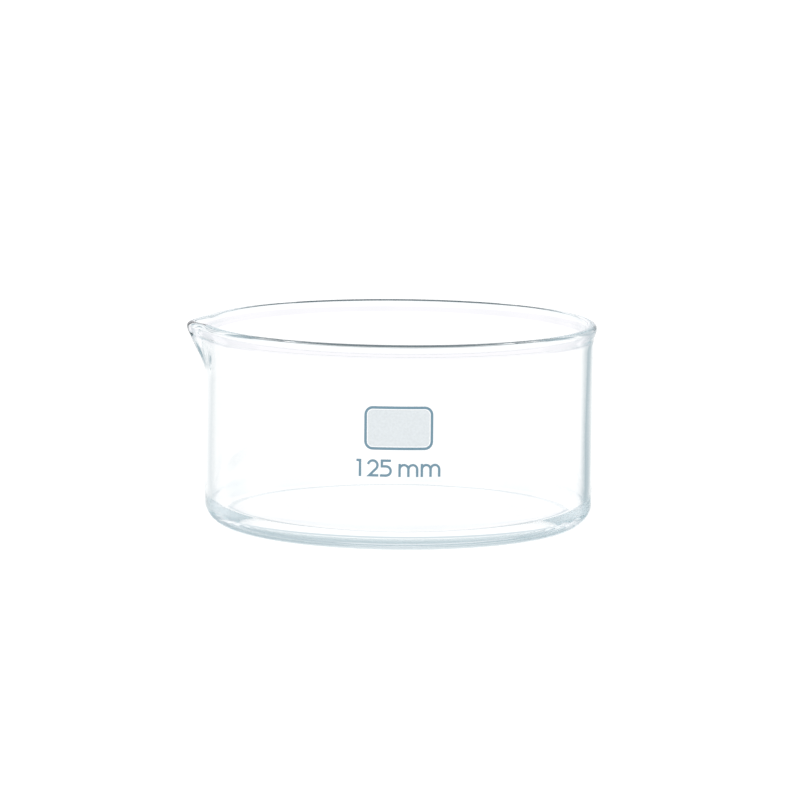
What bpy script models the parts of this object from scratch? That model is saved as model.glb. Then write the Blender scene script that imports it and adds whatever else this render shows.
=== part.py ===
"""A flat-bottomed evaporating dish with a pouring spout: one clear glass body, 125 mm across and 65 mm
high, with the enamel print on its front wall. The dish stands on Z = 0 about the Z axis, its spout points
to -X and its print faces -Y."""

import math

import bmesh
import bpy
from mathutils import Vector

MM = 0.001

# Turned glass body
OUTER_RADIUS = 62.5 * MM
HEIGHT = 65.0 * MM
WALL = 2.2 * MM
BASE = 4.0 * MM
HEEL_RADIUS = 6.8 * MM
FLOOR_FILLET = 5.4 * MM
SEGMENTS = 80
HEEL_STEPS = 6
FILLET_STEPS = 5

# Fire-polished lip: a bead that stands out past the wall, round on both sides of its crest
LIP_RADIUS = 63.45 * MM
LIP_HEIGHT = 1.6 * MM
CREST_INSET = 1.8 * MM
LIP_STEPS = 4
FLARE_FADE = 2.3 * MM

# Pouring spout, pulled out of the softened rim
SPOUT_REACH = 5.0 * MM
SPOUT_DEPTH = 17.5 * MM
SPOUT_FULL_DEPTH = 2.5 * MM
SPOUT_WIDTH_LOW = math.radians(6.5)
SPOUT_WIDTH_TOP = math.radians(9.0)
SPOUT_DIP = 0.4 * MM
SPOUT_ROWS = 7
SKIRT = 0.7 * MM
SKIRT_WIDTH = math.radians(45.0)
PINCH = 0.2 * MM
PINCH_ANGLE = math.radians(17.0)
PINCH_WIDTH = math.radians(5.0)
CROWDING = 0.4  # share by which the ribs of the mesh crowd towards the spout

# Fired enamel print on the front wall
ENAMEL = 0.15 * MM
ENAMEL_GAP = 0.1 * MM
STROKE = 0.75 * MM
CUT_STEP = 1.2 * MM  # widest strip of a flat print that is laid straight across the curved wall
ARC_STEP = math.radians(18.0)

SIZE_BASELINE = 24.0 * MM
DIGIT_HEIGHT = 5.4 * MM
DIGIT_WIDTH = 3.7 * MM
LETTER_HEIGHT = 4.1 * MM
LETTER_WIDTH = 6.2 * MM
DIGIT_1_LEFT = -13.1 * MM
DIGIT_2_LEFT = -9.8 * MM
DIGIT_5_LEFT = -5.7 * MM
LETTER_LEFTS = (0.0, 6.9 * MM)

MARKING_CENTRE = 39.2 * MM
MARKING_WIDTH = 21.4 * MM
MARKING_HEIGHT = 13.6 * MM
MARKING_CORNER = 2.6 * MM
MARKING_LINE = 0.8 * MM
MARKING_MARGIN = 0.3 * MM

MERGE = 1e-6

CLEAR_GLASS = (0.90, 0.96, 0.96)
BLUE_GREY = (0.18, 0.31, 0.39)
PALE_GREY = (0.80, 0.84, 0.85)


def clear_scene():
    for old in list(bpy.data.objects):
        bpy.data.objects.remove(old)


def material(name, colour, roughness, transmission=0.0):
    made = bpy.data.materials.new(name)
    made.use_nodes = True
    shader = made.node_tree.nodes["Principled BSDF"]
    shader.inputs["Base Color"].default_value = (*colour, 1.0)
    shader.inputs["Metallic"].default_value = 0.0
    shader.inputs["Roughness"].default_value = roughness
    shader.inputs["IOR"].default_value = 1.47
    shader.inputs["Transmission Weight"].default_value = transmission
    return made


def finished_object(name, mesh, parent, look):
    """Turn a bmesh into a smooth-shaded object under the parent, in this look."""
    data = bpy.data.meshes.new(name)
    mesh.to_mesh(data)
    mesh.free()
    data.shade_smooth()
    data.set_sharp_from_angle(angle=math.radians(40.0))
    data.materials.append(look)
    made = bpy.data.objects.new(name, data)
    bpy.context.scene.collection.objects.link(made)
    made.parent = parent
    return made


def arc(centre_x, centre_z, radius, start, end, steps):
    """Points along a round stretch from the start angle to the end angle, both ends included."""
    angles = [start + (end - start) * step / steps for step in range(steps + 1)]
    return [(centre_x + radius * math.cos(a), centre_z + radius * math.sin(a)) for a in angles]


def smoothstep(value):
    value = min(max(value, 0.0), 1.0)
    return value * value * (3.0 - 2.0 * value)


# Glass body


def outer_wall_radius(height):
    """Radius of the outside of the wall, which swells out as it nears the lip."""
    below_lip = HEIGHT - LIP_HEIGHT - height
    return OUTER_RADIUS + (LIP_RADIUS - OUTER_RADIUS) * math.exp(-((below_lip / FLARE_FADE) ** 2))


def wall_heights():
    """Heights of the rings between the foot of the spout and the lip, lowest first."""
    low = HEIGHT - SPOUT_DEPTH
    high = HEIGHT - LIP_HEIGHT
    return [low + (high - low) * row / SPOUT_ROWS for row in range(SPOUT_ROWS)]


def lip_outline():
    """The rounded edge, from its outer side over the crest to its inner side: two quarter ellipses."""
    crest = LIP_RADIUS - CREST_INSET
    inner = OUTER_RADIUS - WALL
    foot = HEIGHT - LIP_HEIGHT
    turns = [math.pi / 2 * step / LIP_STEPS for step in range(LIP_STEPS + 1)]
    outside = [(crest + (LIP_RADIUS - crest) * math.cos(a), foot + LIP_HEIGHT * math.sin(a)) for a in turns]
    inside = [(crest - (crest - inner) * math.sin(a), foot + LIP_HEIGHT * math.cos(a)) for a in turns]
    return outside + inside[1:]


def dish_outline():
    """Half section of the dish as (radius, height): along the underside, up the outside, down the inside."""
    inner_radius = OUTER_RADIUS - WALL
    heel_centre = OUTER_RADIUS - HEEL_RADIUS
    fillet_centre = inner_radius - FLOOR_FILLET
    quarter = math.pi / 2
    outline = [(0.0, 0.0)]
    outline += arc(heel_centre, HEEL_RADIUS, HEEL_RADIUS, -quarter, 0.0, HEEL_STEPS)
    outline += [(outer_wall_radius(z), z) for z in wall_heights()]
    outline += lip_outline()
    outline += [(inner_radius, z) for z in reversed(wall_heights())]
    outline += arc(fillet_centre, BASE + FLOOR_FILLET, FLOOR_FILLET, 0.0, -quarter, FILLET_STEPS)
    outline.append((0.0, BASE))
    return outline


def spout_push(angle, height):
    """How far the wall moves outward, this far round from the spout: a bell that fades down the wall, on a
    wide skirt, with a shallow pinch on each side."""
    above_foot = height - (HEIGHT - SPOUT_DEPTH)
    rise = smoothstep(above_foot / (SPOUT_DEPTH - SPOUT_FULL_DEPTH))
    width = SPOUT_WIDTH_LOW + (SPOUT_WIDTH_TOP - SPOUT_WIDTH_LOW) * rise
    bell = math.exp(-((angle / width) ** 2))
    skirt = math.exp(-((angle / SKIRT_WIDTH) ** 2))
    pinch = math.exp(-(((abs(angle) - PINCH_ANGLE) / PINCH_WIDTH) ** 2))
    return rise * ((SPOUT_REACH - SKIRT) * bell + SKIRT * skirt - PINCH * pinch)


def spout_drop(angle, height):
    """How far the lip sinks at the spout."""
    nearness = smoothstep(1.0 - (HEIGHT - height) / SPOUT_DEPTH)
    return SPOUT_DIP * nearness * math.exp(-((angle / SPOUT_WIDTH_TOP) ** 2))


def spun_mesh(outline):
    """Turn an outline that starts and ends on the axis into a closed solid about Z."""
    mesh = bmesh.new()
    corners = [mesh.verts.new((radius, 0.0, height)) for radius, height in outline]
    edges = [mesh.edges.new(pair) for pair in zip(corners, corners[1:])]
    bmesh.ops.spin(
        mesh, geom=corners + edges, axis=(0.0, 0.0, 1.0), cent=(0.0, 0.0, 0.0), angle=math.tau, steps=SEGMENTS
    )
    bmesh.ops.remove_doubles(mesh, verts=mesh.verts, dist=MERGE)
    bmesh.ops.recalc_face_normals(mesh, faces=mesh.faces)
    return mesh


def pull_spout(mesh):
    """Crowd the ribs towards the spout at -X, and pull it out of the wall."""
    for corner in mesh.verts:
        radius = math.hypot(corner.co.x, corner.co.y)
        height = corner.co.z
        if radius < MERGE:
            continue
        angle = math.atan2(corner.co.y, -corner.co.x)
        angle -= CROWDING * math.sin(angle)
        radius += spout_push(angle, height)
        corner.co = (-radius * math.cos(angle), radius * math.sin(angle), height - spout_drop(angle, height))


def dish_body(parent, look):
    mesh = spun_mesh(dish_outline())
    pull_spout(mesh)
    return finished_object("dish_body", mesh, parent, look)


# Enamel print: flat outlines in (x, z), cut into narrow strips and laid round the wall


def stroke_outline(path, width=STROKE):
    """Closed outline of a pen stroke along a path of (x, z) points, with square ends and mitred corners."""
    points = [Vector(point) for point in path]
    ways = [(after - before).normalized() for before, after in zip(points, points[1:])]
    left, right = [], []
    for index, point in enumerate(points):
        before = ways[max(index - 1, 0)].orthogonal()
        after = ways[min(index, len(ways) - 1)].orthogonal()
        across = (before + after).normalized()
        reach = width / 2 / across.dot(after)
        left.append(tuple(point + across * reach))
        right.append(tuple(point - across * reach))
    return left + right[::-1]


def digit_1():
    top = DIGIT_HEIGHT - STROKE / 2
    stem = 1.15 * MM
    return stroke_outline([(0.0, top), (stem, top), (stem, 0.0)])


def digit_2():
    radius = (DIGIT_WIDTH - STROKE) / 2
    centre_x = DIGIT_WIDTH / 2
    centre_z = DIGIT_HEIGHT - STROKE / 2 - radius
    bowl = arc(centre_x, centre_z, radius, math.radians(170.0), math.radians(-45.0), 12)
    leave_x, leave_z = bowl[-1]
    foot = STROKE / 2
    corner = (leave_x - (leave_z - foot), foot)
    return stroke_outline([*bowl, corner, (DIGIT_WIDTH - 0.1 * MM, foot)])


def digit_5():
    top = DIGIT_HEIGHT - STROKE / 2
    stem = STROKE / 2 + 0.2 * MM
    shoulder = 3.25 * MM
    radius = (shoulder - STROKE / 2) / 2
    centre_x = DIGIT_WIDTH - STROKE / 2 - radius
    bowl = arc(centre_x, shoulder - radius, radius, math.pi / 2, -math.pi / 2, 10)
    flag_end = DIGIT_WIDTH - 0.3 * MM
    return stroke_outline([(flag_end, top), (stem, top), (stem, shoulder), *bowl, (0.0, STROKE / 2)])


def letter_m():
    """A stem and two round arches: outline along the top from left to right, and back between the legs."""
    half = STROKE / 2
    radius = (LETTER_WIDTH - STROKE) / 4
    spring = LETTER_HEIGHT - half - radius
    left_centre = half + radius
    right_centre = left_centre + 2 * radius
    stem_turn = math.acos((half - radius) / (radius + half))
    meet_turn = math.acos(radius / (radius + half))
    outline = [(0.0, 0.0), (0.0, LETTER_HEIGHT), (STROKE, LETTER_HEIGHT)]
    outline += arc(left_centre, spring, radius + half, stem_turn, meet_turn, 6)
    outline += arc(right_centre, spring, radius + half, math.pi - meet_turn, 0.0, 7)[1:]
    outline += [(LETTER_WIDTH, 0.0), (LETTER_WIDTH - STROKE, 0.0)]
    outline += arc(right_centre, spring, radius - half, 0.0, math.pi, 8)
    outline += [(2 * radius + STROKE, 0.0), (2 * radius, 0.0)]
    outline += arc(left_centre, spring, radius - half, 0.0, math.pi, 8)
    outline.append((STROKE, 0.0))
    return outline


def round_rectangle(width, height, corner):
    """Outline of a rectangle with round corners about (0, 0)."""
    steps = max(1, round(math.pi / 2 / ARC_STEP))
    outline = []
    for turn, side_x, side_z in ((0, 1, 1), (1, -1, 1), (2, -1, -1), (3, 1, -1)):
        start = turn * math.pi / 2
        centre_x = side_x * (width / 2 - corner)
        centre_z = side_z * (height / 2 - corner)
        outline += arc(centre_x, centre_z, corner, start, start + math.pi / 2, steps)
    return outline


def flat_sheet(outline, hole=None):
    """A flat sheet in the XZ plane with this outline, and with a hole of as many points if one is given."""
    mesh = bmesh.new()
    outer = [mesh.verts.new((x, 0.0, z)) for x, z in outline]
    if hole is None:
        mesh.faces.new(outer)
        return mesh
    inner = [mesh.verts.new((x, 0.0, z)) for x, z in hole]
    for index in range(len(outer)):
        mesh.faces.new((outer[index - 1], outer[index], inner[index], inner[index - 1]))
    return mesh


def lay_on_wall(mesh):
    """Cut a flat sheet into upright strips and wrap it round the outside of the wall, facing out."""
    left = min(corner.co.x for corner in mesh.verts)
    right = max(corner.co.x for corner in mesh.verts)
    cuts = math.ceil((right - left) / CUT_STEP)
    for cut in range(1, cuts):
        place = left + (right - left) * cut / cuts
        everything = mesh.verts[:] + mesh.edges[:] + mesh.faces[:]
        bmesh.ops.bisect_plane(
            mesh, geom=everything, dist=MERGE, plane_co=(place, 0.0, 0.0), plane_no=(1.0, 0.0, 0.0)
        )
    bmesh.ops.triangulate(mesh, faces=mesh.faces)
    radius = OUTER_RADIUS + ENAMEL_GAP
    for corner in mesh.verts:
        angle = corner.co.x / radius
        corner.co = (radius * math.sin(angle), -radius * math.cos(angle), corner.co.z)
    mesh.normal_update()
    for face in mesh.faces:
        middle = face.calc_center_median()
        if face.normal.dot(Vector((middle.x, middle.y, 0.0))) < 0.0:
            face.normal_flip()


def print_object(name, mesh, left, bottom, parent, look):
    """An enamel print whose own zero is moved round the wall by its left and up it by its bottom."""
    lay_on_wall(mesh)
    made = finished_object(name, mesh, parent, look)
    made.location = (0.0, 0.0, bottom)
    made.rotation_euler = (0.0, 0.0, left / (OUTER_RADIUS + ENAMEL_GAP))
    coat = made.modifiers.new("coat", "SOLIDIFY")
    coat.thickness = ENAMEL
    coat.offset = 1.0
    return made


def marking_field(parent, line_look, field_look):
    """The framed matt patch for writing on, above the size."""
    width, height, corner = MARKING_WIDTH, MARKING_HEIGHT, MARKING_CORNER
    outer = round_rectangle(width, height, corner)
    inner = round_rectangle(width - 2 * MARKING_LINE, height - 2 * MARKING_LINE, corner - MARKING_LINE)
    print_object("marking_frame", flat_sheet(outer, inner), 0.0, MARKING_CENTRE, parent, line_look)
    inset = MARKING_LINE + MARKING_MARGIN
    patch = round_rectangle(width - 2 * inset, height - 2 * inset, corner - inset)
    print_object("marking_patch", flat_sheet(patch), 0.0, MARKING_CENTRE, parent, field_look)


def size_mark(parent, look):
    """The nominal size of the dish in millimetres, in plain technical lettering."""
    glyphs = (
        ("size_digit_1", digit_1(), DIGIT_1_LEFT),
        ("size_digit_2", digit_2(), DIGIT_2_LEFT),
        ("size_digit_5", digit_5(), DIGIT_5_LEFT),
        ("size_letter_m_left", letter_m(), LETTER_LEFTS[0]),
        ("size_letter_m_right", letter_m(), LETTER_LEFTS[1]),
    )
    for name, outline, left in glyphs:
        print_object(name, flat_sheet(outline), left, SIZE_BASELINE, parent, look)


def main():
    clear_scene()
    glass = material("clear borosilicate glass", CLEAR_GLASS, 0.03, 1.0)
    line_enamel = material("blue-grey enamel", BLUE_GREY, 0.5)
    field_enamel = material("pale matt enamel", PALE_GREY, 0.7)
    dish = bpy.data.objects.new("dish", None)
    bpy.context.scene.collection.objects.link(dish)
    dish_body(dish, glass)
    marking_field(dish, line_enamel, field_enamel)
    size_mark(dish, line_enamel)


main()
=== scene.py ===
"""The looks of a clear glass evaporating dish with a pouring spout: the glass body, the enamel print fired
onto its front wall, and a plain white studio round it with painted shade under the dish that only the glass sees."""

import math

import bpy
import numpy as np
from bpy.props import FloatProperty, FloatVectorProperty, IntProperty, PointerProperty
from mathutils import Matrix, Vector


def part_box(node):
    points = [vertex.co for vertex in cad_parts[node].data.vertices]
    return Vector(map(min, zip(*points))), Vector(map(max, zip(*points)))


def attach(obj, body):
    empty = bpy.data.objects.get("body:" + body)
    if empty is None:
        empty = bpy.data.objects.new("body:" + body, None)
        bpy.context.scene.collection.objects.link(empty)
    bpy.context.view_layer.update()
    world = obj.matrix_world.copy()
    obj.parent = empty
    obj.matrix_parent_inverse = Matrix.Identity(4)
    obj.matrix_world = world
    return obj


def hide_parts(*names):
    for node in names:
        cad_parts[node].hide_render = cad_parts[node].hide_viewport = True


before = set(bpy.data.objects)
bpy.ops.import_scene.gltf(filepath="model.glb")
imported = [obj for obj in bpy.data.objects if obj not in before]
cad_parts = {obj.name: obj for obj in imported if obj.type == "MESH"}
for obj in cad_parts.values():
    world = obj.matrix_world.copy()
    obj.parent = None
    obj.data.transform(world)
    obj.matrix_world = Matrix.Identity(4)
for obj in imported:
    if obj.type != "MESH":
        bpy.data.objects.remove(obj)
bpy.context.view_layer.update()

bl_info = {
    "name": "Evaporating dish",
    "version": (1, 0, 0),
    "blender": (4, 5, 0),
    "location": "3D View > Sidebar > Dish",
    "description": "A clear glass evaporating dish with a pouring spout and an enamelled size mark",
    "category": "Add Mesh",
}

MM = 0.001
BODY_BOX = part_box("dish_body")
HEIGHT = BODY_BOX[1].z
LIP_RADIUS = BODY_BOX[1].y
WHITE = (1.0, 1.0, 1.0)

# Points along each stretch of the outline, from the middle of the underside to the middle of the floor.
UNDERSIDE_STEPS = 8
HEEL_STEPS = 44
LOW_WALL_STEPS = 10
HIGH_WALL_STEPS = 40
LIP_STEPS = 30
RIM_STEPS = 16
FILLET_STEPS = 36
FLOOR_STEPS = 12

# Waves of the hot-worked inner surface: share, waves round the wall, start in radians, drift in radians per metre.
RIPPLE_WAVES = ((0.5, 3, 0.7, 0.0), (0.3, 7, 2.1, 40.0), (0.2, 17, 0.4, -90.0))

# Grain of the fired enamel: noise scale and detail, the noise and tone of its dark and light grains, and the
# strength and height of its relief.
GRAIN_SCALE = 1400.0
GRAIN_DETAIL = 2.0
GRAIN_TONES = ((0.3, 0.96), (0.7, 1.03))
GRAIN_STRENGTH = 0.15
GRAIN_HEIGHT = 0.01 * MM

# The grey line round the ring under the heel is a painted contact shadow.
SHADE_CORE, SHADE_EDGE = 0.35, 0.65  # shares of the grey line's width at which it is full, and gone
NORTH = 0.75  # where +Y lies on a radial gradient
HORIZON_BLUR = math.radians(1.0)
SENSOR_WIDTH = 36.0
VIEW_REACH = 60.0
LIGHT_BOUNCES = 160


def length(name, description, millimetres):
    """A setting that is a length, with its default in millimetres."""
    return FloatProperty(
        name=name, description=description, default=millimetres * MM, min=0.0, unit="LENGTH", subtype="DISTANCE"
    )


def angle(name, description, degrees):
    """A setting that is an angle, with its default in degrees."""
    return FloatProperty(
        name=name, description=description, default=math.radians(degrees), unit="ROTATION", subtype="ANGLE"
    )


def colour(name, description, values):
    """A setting that is a linear red, green and blue."""
    return FloatVectorProperty(
        name=name, description=description, default=values, size=3, min=0.0, max=1.0, subtype="COLOR"
    )


def number(name, description, value):
    """A setting that is a plain number."""
    return FloatProperty(name=name, description=description, default=value)


class GlassSettings(bpy.types.PropertyGroup):
    """Sizes and tint of the glass body"""

    wall: length("Wall", "Thickness of the wall", 2.2)
    base: length("Base", "Thickness of the floor", 4.0)
    heel: length("Heel", "Radius of the round between the underside and the wall", 6.8)
    fillet: length("Fillet", "Radius of the round between the floor and the wall, inside", 5.4)
    crest_inset: length("Crest inset", "How far the lip's crest lies inside its widest ring", 1.8)
    lip_height: length("Lip height", "Height of the lip's outer round", 1.6)
    rim_height: length("Rim height", "Height of the lip's inner round", 1.6)
    outer_flare: length("Outer flare", "How far the wall's outside swells at the lip", 0.95)
    flare_fade: length("Flare fade", "Depth below the lip over which the flare dies out", 2.3)
    spout_reach: length("Spout reach", "How far the spout stands out past the lip", 5.0)
    spout_depth: length("Spout depth", "Height of the stretch of wall that the spout is pulled from", 17.5)
    spout_full: length("Spout full depth", "Depth below the lip at which the spout has its full reach", 2.5)
    spout_low: angle("Spout foot width", "Half width of the spout at its foot", 6.5)
    spout_top: angle("Spout lip width", "Half width of the spout at the lip", 9.0)
    spout_dip: length("Spout dip", "How far the lip sinks at the spout", 0.4)
    skirt: length("Skirt", "How far the lip on each side is drawn along with the spout", 0.7)
    skirt_width: angle("Skirt width", "Half width of the stretch of lip that is drawn along", 45.0)
    crease: length("Crease", "Depth of the crease on the front side of the spout", 0.15)
    crease_angle: angle("Crease angle", "How far round from the spout the crease is", 17.5)
    crease_width: angle("Crease width", "Half width of the crease", 2.2)
    ripple: length("Ripple", "Unevenness of the wall's inner surface, left by hot working", 0.05)
    calm: length("Calm", "Height over which the ripple grows from nothing at the floor", 30.0)
    ribs: IntProperty(name="Ribs", description="Points round the dish", default=360, min=32, max=720)
    crowding: number("Crowding", "Share by which the ribs crowd towards the spout", 0.4)
    ior: number("Refraction", "Index of refraction of borosilicate glass", 1.473)
    depth_tint: colour("Depth tint", "What long paths through the glass turn to", (0.84, 0.91, 0.925))
    depth_density: number("Depth density", "Absorption per metre of glass", 7.0)


class PrintSettings(bpy.types.PropertyGroup):
    """Colours and gloss of the fired enamel print"""

    line_colour: colour("Line colour", "Colour of the lettering and the frame", (0.18, 0.31, 0.39))
    line_roughness: number("Line roughness", "Roughness of the lettering and the frame", 0.45)
    patch_colour: colour("Patch colour", "Colour of the patch for writing on", (0.80, 0.84, 0.85))
    patch_roughness: number("Patch roughness", "Roughness of the patch for writing on", 0.65)


class StageSettings(bpy.types.PropertyGroup):
    """The white floor, what the glass sees through it with painted shade under the dish and the heel, the soft
    surroundings and the camera
    """

    floor_glow: number("Floor glow", "Brightness of the floor", 1.12)
    floor_reach: length("Floor reach", "Radius of the floor", 12000.0)
    floor_gap: length("Floor gap", "How far the floor lies under the dish", 0.3)
    panel_glow: number("Panel glow", "Brightness of the light panels all round", 1.12)
    strip_depth: colour("Strip depth", "How strongly the strips dim red, green and blue", (1.0, 0.86, 0.8))
    band_colour: colour("Band colour", "Colour of the surroundings just above the horizon", (0.88, 0.87, 0.90))
    roof_colour: colour("Roof colour", "Colour of the surroundings overhead", (0.60, 0.65, 0.675))
    roof_low: angle("Roof from", "Height above the horizon at which the roof begins", 9.5)
    roof_high: angle("Roof to", "Height above the horizon at which the roof is full", 50.0)
    # The dark card under the dish is painted shade, seen only through the glass.
    card_radius: length("Card radius", "Radius of the dark card under the dish", 700.0)
    card_depth: length("Card depth", "How far under the dish the dark card lies", 400.0)
    shade_card_colour: colour("Card colour", "Colour of the dark card", (0.10, 0.14, 0.16))
    card_glow: number("Card glow", "Brightness of the dark card", 1.0)
    ring_inner: length("Ring inside", "Inner radius of the ring under the heel, in front and behind", 49.5)
    # Where the ring is narrower, more of the painted shade under the dish shows through the heel.
    ring_side: length("Ring inside, sides", "Inner radius of the ring under the heel, at the sides", 53.4)
    narrow_from: angle("Narrow from", "How far round from the front the ring begins to narrow", 58.0)
    widen_from: angle("Widen from", "How far round from the front the ring begins to widen again", 116.0)
    narrow_fade: angle("Narrow fade", "Turn over which the ring's width changes", 18.0)
    ring_outer: length("Ring outside", "Outer radius of the ring under the heel", 61.5)
    # The grey line round the ring under the heel is a painted contact shadow.
    shade_middle: length("Shade radius", "Radius of the grey line round the ring under the heel", 55.0)
    shade_width: length("Shade width", "Width of the grey line round the ring under the heel", 2.4)
    contact_shadow_colour: colour("Shade colour", "Colour of the grey line under the heel", (0.60, 0.68, 0.72))
    skirting_colour: colour("Skirting colour", "Colour of the surroundings low down", (0.94, 0.965, 0.975))
    skirting_from: angle("Skirting from", "Depth below the horizon at which the skirting begins", 11.0)
    skirting_to: angle("Skirting to", "Depth below the horizon at which the skirting is full", 17.0)
    distance: length("Distance", "Camera to aim point", 1500.0)
    tilt: angle("Tilt", "How far the camera looks down", 7.855)
    roll: angle("Roll", "How far the camera leans about its own axis", 0.544)
    aim_side: length("Aim side", "How far to the right of the axis the camera looks", 0.3)
    aim_height: length("Aim height", "Height of the point that the camera looks at", 39.4)
    lens: number("Lens", "Focal length in millimetres on a 36 mm frame", 209.4)


# Surfaces


def grid_quads(rows, columns, closed):
    """Corner numbers of the faces of a grid, row by row; the last column joins the first if it is closed.
    Face (i, j) runs (i, j), (i, j+1), (i+1, j+1), (i+1, j), so it faces along (d/dj) x (d/di)."""
    row, column = np.meshgrid(np.arange(rows - 1), np.arange(columns if closed else columns - 1), indexing="ij")
    beside = (column + 1) % columns
    this, above = row * columns, (row + 1) * columns
    return np.stack([this + column, this + beside, above + beside, above + column], axis=-1).reshape(-1, 4)


def mesh_piece(name, points, quads, triangles=()):
    """A smooth-shaded object at the origin from arrays of points and faces."""
    data = bpy.data.meshes.new(name)
    faces = [*quads.tolist(), *np.asarray(triangles, int).tolist()]
    data.from_pydata(points.reshape(-1, 3).tolist(), [], faces)
    data.validate()
    data.shade_smooth()
    piece = bpy.data.objects.new(name, data)
    bpy.context.scene.collection.objects.link(piece)
    return piece


def smoothstep(values):
    """3v^2 - 2v^3 of the values, held between 0 and 1."""
    values = np.clip(values, 0.0, 1.0)
    return values * values * (3.0 - 2.0 * values)


def round_arc(centre, radius, start, end, steps):
    """centre + radius (cos t, sin t) as t runs from start to end in quarter turns, both ends included."""
    turn = np.linspace(start, end, steps) * math.pi / 2
    return centre[0] + radius * np.cos(turn), centre[1] + radius * np.sin(turn)


def dish_outline(glass):
    """Half section of the dish as arrays of radius, height and inside share: out along the underside, up the
    outside, over the lip and down the inside to the middle of the floor. The wall's outside has radius
    R + flare exp(-((z_foot - z) / fade)^2). The lip is two quarter ellipses that meet at its crest."""
    outer = LIP_RADIUS - glass.outer_flare
    inner = outer - glass.wall
    crest = LIP_RADIUS - glass.crest_inset
    lip_foot, rim_foot = HEIGHT - glass.lip_height, HEIGHT - glass.rim_height
    under = np.linspace(0.0, outer - glass.heel, UNDERSIDE_STEPS)[:-1]
    heel = round_arc((outer - glass.heel, glass.heel), glass.heel, -1.0, 0.0, HEEL_STEPS)
    up = wall_heights(glass, glass.heel, lip_foot)
    up_radius = outer + glass.outer_flare * np.exp(-(((lip_foot - up) / glass.flare_fade) ** 2))
    turn = np.linspace(0.0, math.pi / 2, LIP_STEPS)
    lip = crest + (LIP_RADIUS - crest) * np.cos(turn), lip_foot + glass.lip_height * np.sin(turn)
    turn = np.linspace(math.pi / 2, 0.0, RIM_STEPS)[1:]
    rim = crest - (crest - inner) * np.cos(turn), rim_foot + glass.rim_height * np.sin(turn)
    down = wall_heights(glass, glass.base + glass.fillet, rim_foot)[::-1]
    fillet_middle = (inner - glass.fillet, glass.base + glass.fillet)
    fillet = round_arc(fillet_middle, glass.fillet, 0.0, -1.0, FILLET_STEPS)
    floor = np.linspace(inner - glass.fillet, 0.0, FLOOR_STEPS)[1:]
    radius = np.concatenate(
        [under, heel[0], up_radius, lip[0], rim[0], np.full_like(down, inner), fillet[0], floor]
    )
    height = np.concatenate(
        [np.zeros_like(under), heel[1], up, lip[1], rim[1], down, fillet[1], np.full_like(floor, glass.base)]
    )
    outside = np.zeros(len(under) + len(heel[0]) + len(up) + len(lip[0]))
    inside = np.ones(len(down) + len(fillet[0]) + len(floor))
    return radius, height, np.concatenate([outside, np.linspace(0.0, 1.0, len(rim[0])), inside])


def wall_heights(glass, low, high):
    """Heights of the wall's rows between two levels, closer together from the spout's foot upwards."""
    spout_foot = HEIGHT - glass.spout_depth
    plain = np.linspace(low, spout_foot, LOW_WALL_STEPS)[1:-1]
    return np.concatenate([plain, np.linspace(spout_foot, high, HIGH_WALL_STEPS)[:-1]])


def spout_push(glass, round_angle, height, inside):
    """Outward push near the spout, at an angle a from it and a height z: rise (reach exp(-(a / w)^2)
    + skirt exp(-(a / s)^2)) - 4 rise (1 - rise) crease exp(-((a - c) / d)^2), where rise(z) is a smooth step up
    the top of the wall, w widens with it, and the crease is in the outside only."""
    rise = smoothstep((height - (HEIGHT - glass.spout_depth)) / (glass.spout_depth - glass.spout_full))
    width = glass.spout_low + (glass.spout_top - glass.spout_low) * rise
    bell = (glass.spout_reach - glass.skirt) * np.exp(-((round_angle / width) ** 2))
    skirt = glass.skirt * np.exp(-((round_angle / glass.skirt_width) ** 2))
    crease = glass.crease * np.exp(-(((round_angle - glass.crease_angle) / glass.crease_width) ** 2))
    return rise * (bell + skirt) - 4.0 * rise * (1.0 - rise) * (1.0 - inside) * crease


def spout_drop(glass, round_angle, height):
    """How far the lip sinks at the spout: dip step(1 - d / spout depth) exp(-(a / w)^2), at an angle a from the
    spout and a depth d below the lip, where step is the smooth step."""
    near = smoothstep(1.0 - (HEIGHT - height) / glass.spout_depth)
    return glass.spout_dip * near * np.exp(-((round_angle / glass.spout_top) ** 2))


def hand_ripple(round_angle, height):
    """Unevenness between -1 and 1 of hot-worked glass, at an angle a and a height z: the sum of the waves
    share sin(count a + start + drift z)."""
    return sum(
        share * np.sin(count * round_angle + start + drift * height) for share, count, start, drift in RIPPLE_WAVES
    )


def make_glass_body(glass):
    """Turn the outline round Z, crowd the ribs towards the spout at -X, and pull the spout. A rib of even turn t
    stands at a = t - crowding sin t, and its points are (-r cos a, -r sin a, z). r is the outline's radius with
    the spout's push and, on the inside of the wall, the ripple; z is its height less the spout's drop."""
    radius, height, inside = dish_outline(glass)
    turn = np.linspace(-math.pi, math.pi, glass.ribs, endpoint=False)
    turn = turn - glass.crowding * np.sin(turn)
    ring_radius, ring_height, ring_inside = (values[1:-1, None] for values in (radius, height, inside))
    push = spout_push(glass, turn[None], ring_height, ring_inside)
    on_wall = ring_inside * smoothstep((ring_height - glass.base - glass.fillet) / glass.calm)
    spread = ring_radius + push + glass.ripple * on_wall * hand_ripple(turn[None], ring_height)
    lift = ring_height - spout_drop(glass, turn[None], ring_height)
    rings = np.stack([-spread * np.cos(turn), -spread * np.sin(turn), lift * np.ones_like(spread)], axis=-1)
    rows, ribs = rings.shape[:2]
    poles = np.array([[0.0, 0.0, height[0]], [0.0, 0.0, height[-1]]])
    points = np.concatenate([rings.reshape(-1, 3), poles])
    quads = grid_quads(rows, ribs, closed=True)
    rib = np.arange(ribs)
    beside = (rib + 1) % ribs
    last = (rows - 1) * ribs
    under = np.stack([np.full(ribs, rows * ribs), beside, rib], axis=-1)
    floor = np.stack([last + rib, last + beside, np.full(ribs, rows * ribs + 1)], axis=-1)
    return mesh_piece("glass_body", points, quads, np.concatenate([under, floor]))


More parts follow.
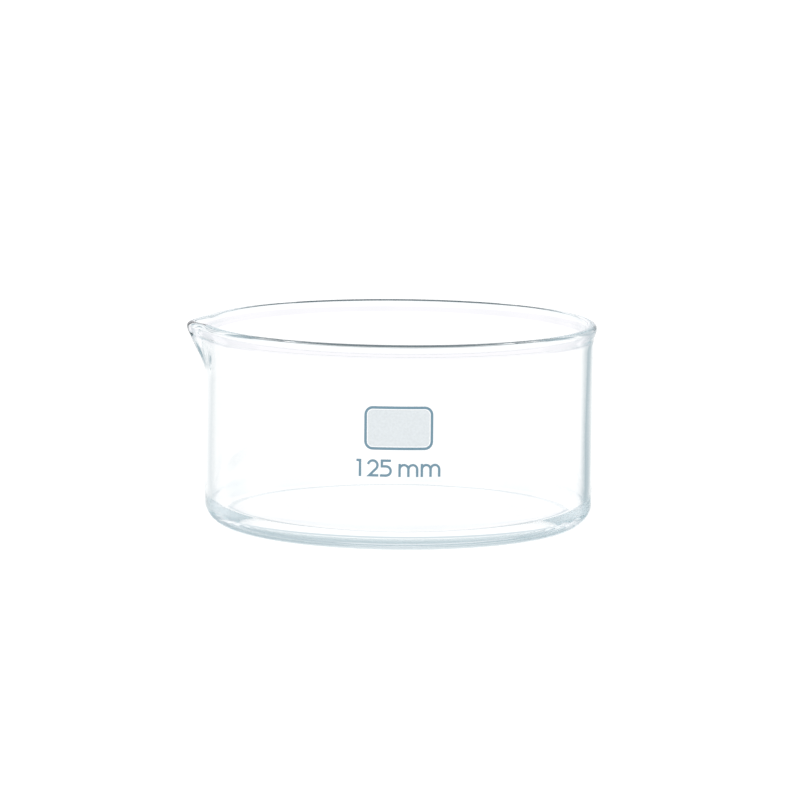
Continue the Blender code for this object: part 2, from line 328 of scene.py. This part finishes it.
# Materials


def fresh_material(name):
    """A new material with its nodes and links."""
    made = bpy.data.materials.new(name)
    made.use_nodes = True
    return made, made.node_tree.nodes, made.node_tree.links


def clear_glass(glass):
    """Clear borosilicate: smooth and colourless at the surface, faintly blue-green through its depth."""
    made, nodes, links = fresh_material("clear borosilicate glass")
    shader = nodes["Principled BSDF"]
    shader.inputs["Base Color"].default_value = (1.0, 1.0, 1.0, 1.0)
    shader.inputs["Roughness"].default_value = 0.0
    shader.inputs["IOR"].default_value = glass.ior
    shader.inputs["Transmission Weight"].default_value = 1.0
    depth = nodes.new("ShaderNodeVolumeAbsorption")
    depth.inputs["Color"].default_value = (*glass.depth_tint, 1.0)
    depth.inputs["Density"].default_value = glass.depth_density
    links.new(depth.outputs["Volume"], nodes["Material Output"].inputs["Volume"])
    return made


def fired_enamel(name, base, roughness):
    """Fired enamel: an opaque, slightly grainy glaze with small changes of tone."""
    made, nodes, links = fresh_material(name)
    shader = nodes["Principled BSDF"]
    shader.inputs["Roughness"].default_value = roughness
    place = nodes.new("ShaderNodeTexCoord")
    grain = nodes.new("ShaderNodeTexNoise")
    grain.inputs["Scale"].default_value = GRAIN_SCALE
    grain.inputs["Detail"].default_value = GRAIN_DETAIL
    tone = nodes.new("ShaderNodeValToRGB")
    for element, (place_on_ramp, share) in zip(tone.color_ramp.elements, GRAIN_TONES):
        element.position = place_on_ramp
        element.color = (*(min(1.0, share * part) for part in base), 1.0)
    bump = nodes.new("ShaderNodeBump")
    bump.inputs["Strength"].default_value = GRAIN_STRENGTH
    bump.inputs["Distance"].default_value = GRAIN_HEIGHT
    links.new(place.outputs["Object"], grain.inputs["Vector"])
    links.new(grain.outputs["Fac"], tone.inputs["Fac"])
    links.new(tone.outputs["Color"], shader.inputs["Base Color"])
    links.new(grain.outputs["Fac"], bump.inputs["Height"])
    links.new(bump.outputs["Normal"], shader.inputs["Normal"])
    return made


# Stage


def glow_material(name, tint, strength):
    """A material that only glows, and its glow node."""
    made, nodes, links = fresh_material(name)
    glow = nodes.new("ShaderNodeEmission")
    glow.inputs["Color"].default_value = (*tint, 1.0)
    glow.inputs["Strength"].default_value = strength
    links.new(glow.outputs["Emission"], nodes["Material Output"].inputs["Surface"])
    return made, glow


def flat_disc(name, radius, height, steps=128):
    """A level disc about Z that faces up: triangles from its middle to points once round its edge."""
    turn = np.linspace(0.0, 2.0 * math.pi, steps, endpoint=False)
    edge = np.stack([radius * np.cos(turn), radius * np.sin(turn), np.full(steps, height)], axis=-1)
    rim = np.arange(steps)
    fan = np.stack([rim, (rim + 1) % steps, np.full(steps, steps)], axis=-1)
    no_quads = np.empty((0, 4), int)
    return mesh_piece(name, np.concatenate([edge, [[0.0, 0.0, height]]]), no_quads, fan)


def narrowing_ring(stage, height, steps=192):
    """A level ring about Z that faces up. Its inner radius at a turn t from the front, -Y, is
    inner + (side - inner) (step((|t| - narrow) / fade) - step((|t| - widen) / fade)), where step is the smooth
    step, so the ring is narrower at the sides than in front and behind."""
    # The narrowing lets more painted shade from under the dish show through the heel at the sides.
    turn = np.linspace(-math.pi, math.pi, steps, endpoint=False)
    beside = smoothstep((np.abs(turn) - stage.narrow_from) / stage.narrow_fade)
    beside = beside - smoothstep((np.abs(turn) - stage.widen_from) / stage.narrow_fade)
    inner = stage.ring_inner + (stage.ring_side - stage.ring_inner) * beside
    radius = np.stack([inner, np.full(steps, stage.ring_outer)])
    points = np.stack([-radius * np.sin(turn), -radius * np.cos(turn), np.full((2, steps), height)], axis=-1)
    return mesh_piece("heel_shadow_ring", points, grid_quads(2, steps, closed=True))


def smooth_range(nodes, low, high):
    """A node that rises smoothly from 0 to 1 as its value goes from low to high."""
    step = nodes.new("ShaderNodeMapRange")
    step.interpolation_type = "SMOOTHSTEP"
    step.inputs["From Min"].default_value = low
    step.inputs["From Max"].default_value = high
    return step


def colour_mix(nodes, first, second):
    """A node that mixes two colours by its factor."""
    mix = nodes.new("ShaderNodeMix")
    mix.data_type = "RGBA"
    mix.inputs["A"].default_value = (*first, 1.0)
    mix.inputs["B"].default_value = (*second, 1.0)
    return mix


def seen_through_glass_only(card):
    """Hide a stage piece from everything but light that has come through the glass."""
    card.visible_camera = False
    card.visible_diffuse = False
    card.visible_glossy = False
    card.visible_shadow = False


def make_floor(stage):
    """A wide white floor that glows evenly, a hair under the dish. Light that has come through the glass passes
    it, and meets the ring under the heel with its painted contact shadow, the dark card of painted shade deep
    under the dish, or the surroundings."""
    floor = flat_disc("floor", stage.floor_reach, -stage.floor_gap)
    made, _ = glow_material("white floor", WHITE, stage.floor_glow)
    floor.data.materials.append(made)
    floor.visible_transmission = False
    floor.visible_glossy = False


def make_painted_shade_card(stage):
    """The dark card deep under the dish, which only steep light meets: painted shade under the dish, seen only
    through the glass. It draws the dark line of the front rim.
    """
    card = flat_disc("painted_shade_card", stage.card_radius, -stage.card_depth)
    made, _ = glow_material("dark card", stage.shade_card_colour, stage.card_glow)
    card.data.materials.append(made)
    seen_through_glass_only(card)


def make_heel_shadow_ring(stage):
    """The white ring close under the heel, with a soft grey line round it: a painted contact shadow under the
    heel.
    The line is full near its middle radius and fades smoothly to white on both sides."""
    ring = narrowing_ring(stage, -stage.floor_gap / 2)
    made, glow = glow_material("ring under the heel", WHITE, stage.panel_glow)
    nodes, links = made.node_tree.nodes, made.node_tree.links
    place = nodes.new("ShaderNodeTexCoord")
    distance = nodes.new("ShaderNodeVectorMath")
    distance.operation = "LENGTH"
    aside = nodes.new("ShaderNodeMath")
    aside.operation = "SUBTRACT"
    aside.inputs[1].default_value = stage.shade_middle
    apart = nodes.new("ShaderNodeMath")
    apart.operation = "ABSOLUTE"
    # The grey line is a painted contact shadow: full near the shade radius, white beyond its width.
    edge = smooth_range(nodes, SHADE_CORE * stage.shade_width, SHADE_EDGE * stage.shade_width)
    mix = colour_mix(nodes, stage.contact_shadow_colour, WHITE)
    links.new(place.outputs["Object"], distance.inputs[0])
    links.new(distance.outputs["Value"], aside.inputs[0])
    links.new(aside.outputs["Value"], apart.inputs[0])
    links.new(apart.outputs["Value"], edge.inputs["Value"])
    links.new(edge.outputs["Result"], mix.inputs["Factor"])
    links.new(mix.outputs["Result"], glow.inputs["Color"])
    ring.data.materials.append(made)
    seen_through_glass_only(ring)


# Upright strips between the light panels, below and above the horizon: the compass angle of each strip's
# middle, clockwise from +Y in degrees, half its width, how far it fades on each side, and its tone, where 1 is
# as bright as the panels.
LOW_STRIPS = (
    (28.0, 5.0, 13.0, 0.42),
    (-30.0, 3.5, 16.0, 0.72),
    (-69.0, 5.0, 9.0, 0.6),
    (-118.0, 7.0, 14.0, 0.6),
    (105.0, 6.0, 12.0, 0.6),
    (164.0, 6.0, 12.0, 0.6),
)
HIGH_STRIPS = (
    (31.0, 17.0, 6.0, 0.66),
    (-44.0, 14.0, 6.0, 0.66),
)
# The same for the skirting under the low strips.
SKIRTING_STRIPS = (
    (-25.0, 8.0, 5.0, 0.3),
    (-66.0, 12.0, 4.0, 0.3),
    (28.0, 8.0, 6.0, 0.35),
    (60.0, 15.0, 5.0, 0.3),
)


def compass_ramp(nodes, base, strips, depth):
    """One colour all round, dimmed over each strip: a colour ramp over a gradient that runs once round from -X.
    Depth is how strongly the strips dim red, green and blue."""
    stops = [(0.0, 1.0), (1.0, 1.0)]
    for middle, half, fade, tone in strips:
        for offset, level in ((-half - fade, 1.0), (-half, tone), (half, tone), (half + fade, 1.0)):
            stops.append(((NORTH - (middle + offset) / 360.0) % 1.0, level))
    stops.sort()
    panels = nodes.new("ShaderNodeValToRGB")
    ramp = panels.color_ramp
    ramp.interpolation = "EASE"
    while len(ramp.elements) < len(stops):
        ramp.elements.new(0.5)
    for element, (place, _) in zip(ramp.elements, stops):
        element.position = place
    for element, (_, level) in zip(ramp.elements, stops):
        element.color = (*(part * (1.0 - (1.0 - level) * share) for part, share in zip(base, depth)), 1.0)
    return panels


def make_surroundings(stage):
    """White panels below the horizon and a faintly tinted band above it, both with dimmer strips, a skirting low
    down with strips of its own, and a soft blue-grey roof."""
    world = bpy.data.worlds.new("studio")
    bpy.context.scene.world = world
    world.use_nodes = True
    nodes, links = world.node_tree.nodes, world.node_tree.links
    way = nodes.new("ShaderNodeTexCoord")
    compass = nodes.new("ShaderNodeTexGradient")
    compass.gradient_type = "RADIAL"
    below = compass_ramp(nodes, WHITE, LOW_STRIPS, stage.strip_depth)
    above = compass_ramp(nodes, stage.band_colour, HIGH_STRIPS, stage.strip_depth)
    skirting = compass_ramp(nodes, stage.skirting_colour, SKIRTING_STRIPS, stage.strip_depth)
    parts = nodes.new("ShaderNodeSeparateXYZ")
    walls = colour_mix(nodes, WHITE, WHITE)
    low = colour_mix(nodes, WHITE, WHITE)
    high = colour_mix(nodes, WHITE, stage.roof_colour)
    sky = nodes["Background"]
    sky.inputs["Strength"].default_value = stage.panel_glow
    links.new(way.outputs["Generated"], compass.inputs["Vector"])
    links.new(way.outputs["Generated"], parts.inputs["Vector"])
    links.new(compass.outputs["Fac"], below.inputs["Fac"])
    links.new(compass.outputs["Fac"], above.inputs["Fac"])
    links.new(compass.outputs["Fac"], skirting.inputs["Fac"])
    links.new(below.outputs["Color"], walls.inputs["A"])
    links.new(above.outputs["Color"], walls.inputs["B"])
    for mix, start, end in (
        (walls, -HORIZON_BLUR, HORIZON_BLUR),
        (low, -stage.skirting_from, -stage.skirting_to),
        (high, stage.roof_low, stage.roof_high),
    ):
        rise = smooth_range(nodes, math.sin(start), math.sin(end))
        links.new(parts.outputs["Z"], rise.inputs["Value"])
        links.new(rise.outputs["Result"], mix.inputs["Factor"])
    links.new(walls.outputs["Result"], low.inputs["A"])
    links.new(skirting.outputs["Color"], low.inputs["B"])
    links.new(low.outputs["Result"], high.inputs["A"])
    links.new(high.outputs["Result"], sky.inputs["Color"])


def make_camera(stage):
    """A long lens a little above the rim, looking along +Y, leaning by the roll about its own axis."""
    data = bpy.data.cameras.new("camera")
    data.lens = stage.lens
    data.sensor_width = SENSOR_WIDTH
    data.clip_end = VIEW_REACH
    camera = bpy.data.objects.new("camera", data)
    bpy.context.scene.collection.objects.link(camera)
    back = Vector((0.0, -math.cos(stage.tilt), math.sin(stage.tilt)))
    place = Vector((stage.aim_side, 0.0, stage.aim_height)) + stage.distance * back
    turn = (-back).to_track_quat("-Z", "Y").to_matrix().to_4x4()
    camera.matrix_world = Matrix.Translation(place) @ turn @ Matrix.Rotation(stage.roll, 4, "Z")
    bpy.context.scene.camera = camera


def set_light_paths(cycles):
    """Let light run on inside the glass, which can lead it round the wall many times before it leaves."""
    cycles.max_bounces = LIGHT_BOUNCES
    cycles.glossy_bounces = LIGHT_BOUNCES
    cycles.transmission_bounces = LIGHT_BOUNCES
    cycles.blur_glossy = 0.0


class DISH_OT_glass(bpy.types.Operator):
    """Make the glass body"""

    bl_idname = "dish.glass"
    bl_label = "Glass body"

    def execute(self, context):
        glass = context.scene.dish_glass
        body = make_glass_body(glass)
        body.data.materials.append(clear_glass(glass))
        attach(body, "root")
        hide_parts("dish_body")
        return {"FINISHED"}


class DISH_OT_print(bpy.types.Operator):
    """Give the enamel print its finish"""

    bl_idname = "dish.enamel_print"
    bl_label = "Enamel print"

    def execute(self, context):
        settings = context.scene.dish_print
        line = fired_enamel("blue-grey enamel", settings.line_colour, settings.line_roughness)
        patch = fired_enamel("pale enamel", settings.patch_colour, settings.patch_roughness)
        for name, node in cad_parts.items():
            if name != "dish_body":
                node.data.materials.clear()
                node.data.materials.append(patch if name == "marking_patch" else line)
        return {"FINISHED"}


class DISH_OT_stage(bpy.types.Operator):
    """Make the floor, the card of painted shade and the ring under it with its painted contact shadow, the
    surroundings and the camera
    """

    bl_idname = "dish.stage"
    bl_label = "Stage and camera"

    def execute(self, context):
        stage = context.scene.dish_stage
        make_floor(stage)
        make_painted_shade_card(stage)
        make_heel_shadow_ring(stage)
        make_surroundings(stage)
        make_camera(stage)
        context.scene.view_settings.view_transform = "Standard"
        set_light_paths(context.scene.cycles)
        return {"FINISHED"}


class DISH_PT_panel(bpy.types.Panel):
    """The dish's operators and settings"""

    bl_idname = "DISH_PT_panel"
    bl_label = "Evaporating dish"
    bl_space_type = "VIEW_3D"
    bl_region_type = "UI"
    bl_category = "Dish"

    def draw(self, context):
        for operator in OPERATORS:
            self.layout.operator(operator.bl_idname)
        for settings in (context.scene.dish_glass, context.scene.dish_print, context.scene.dish_stage):
            box = self.layout.box()
            for name in settings.__annotations__:
                box.prop(settings, name)


SETTINGS = {"dish_glass": GlassSettings, "dish_print": PrintSettings, "dish_stage": StageSettings}
OPERATORS = (DISH_OT_glass, DISH_OT_print, DISH_OT_stage)


def register():
    for kind in (*SETTINGS.values(), *OPERATORS, DISH_PT_panel):
        bpy.utils.register_class(kind)
    for name, kind in SETTINGS.items():
        setattr(bpy.types.Scene, name, PointerProperty(type=kind))


def unregister():
    for name in SETTINGS:
        delattr(bpy.types.Scene, name)
    for kind in (DISH_PT_panel, *reversed(OPERATORS), *reversed(SETTINGS.values())):
        bpy.utils.unregister_class(kind)


def main():
    register()
    bpy.ops.dish.glass()
    bpy.ops.dish.enamel_print()
    bpy.ops.dish.stage()


if __name__ == "__main__":
    main()
